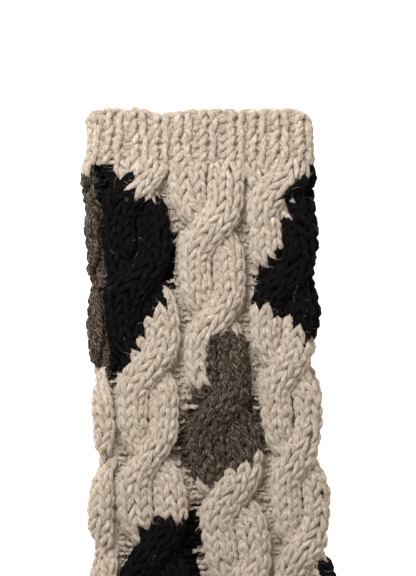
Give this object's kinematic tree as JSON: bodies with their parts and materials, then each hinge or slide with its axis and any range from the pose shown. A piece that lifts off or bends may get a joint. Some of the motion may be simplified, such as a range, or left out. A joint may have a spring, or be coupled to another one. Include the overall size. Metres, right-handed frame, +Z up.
{
  "type": "pair of knitted arm warmers",
  "caption": "Cable-knitted wool tubes with ribbed cuffs and irregular colour patches that warm the forearms, laid flat side by side.",
  "frame": {"origin": "centre of the pair's box, on the surface that both warmers lie on", "axes": "+Y along both tubes towards their top cuffs, +X from the first warmer to the second, +Z up out of the surface"},
  "size_m": [0.2502, 0.36, 0.0169],
  "materials": {
    "natural_wool": "undyed oatmeal wool yarn, soft and slightly hairy, matt",
    "brown_wool": "marled dark grey-brown wool yarn with lighter fibres, matt",
    "black_wool": "black wool yarn with a few pale stray fibres, matt"
  },
  "bodies": {
    "root": {"left_top_cuff": "natural_wool", "left_cable_body": "natural_wool", "left_bottom_cuff": "natural_wool", "right_top_cuff": "natural_wool", "right_cable_body": "natural_wool", "right_bottom_cuff": "natural_wool"}
  },
  "joints": []
}
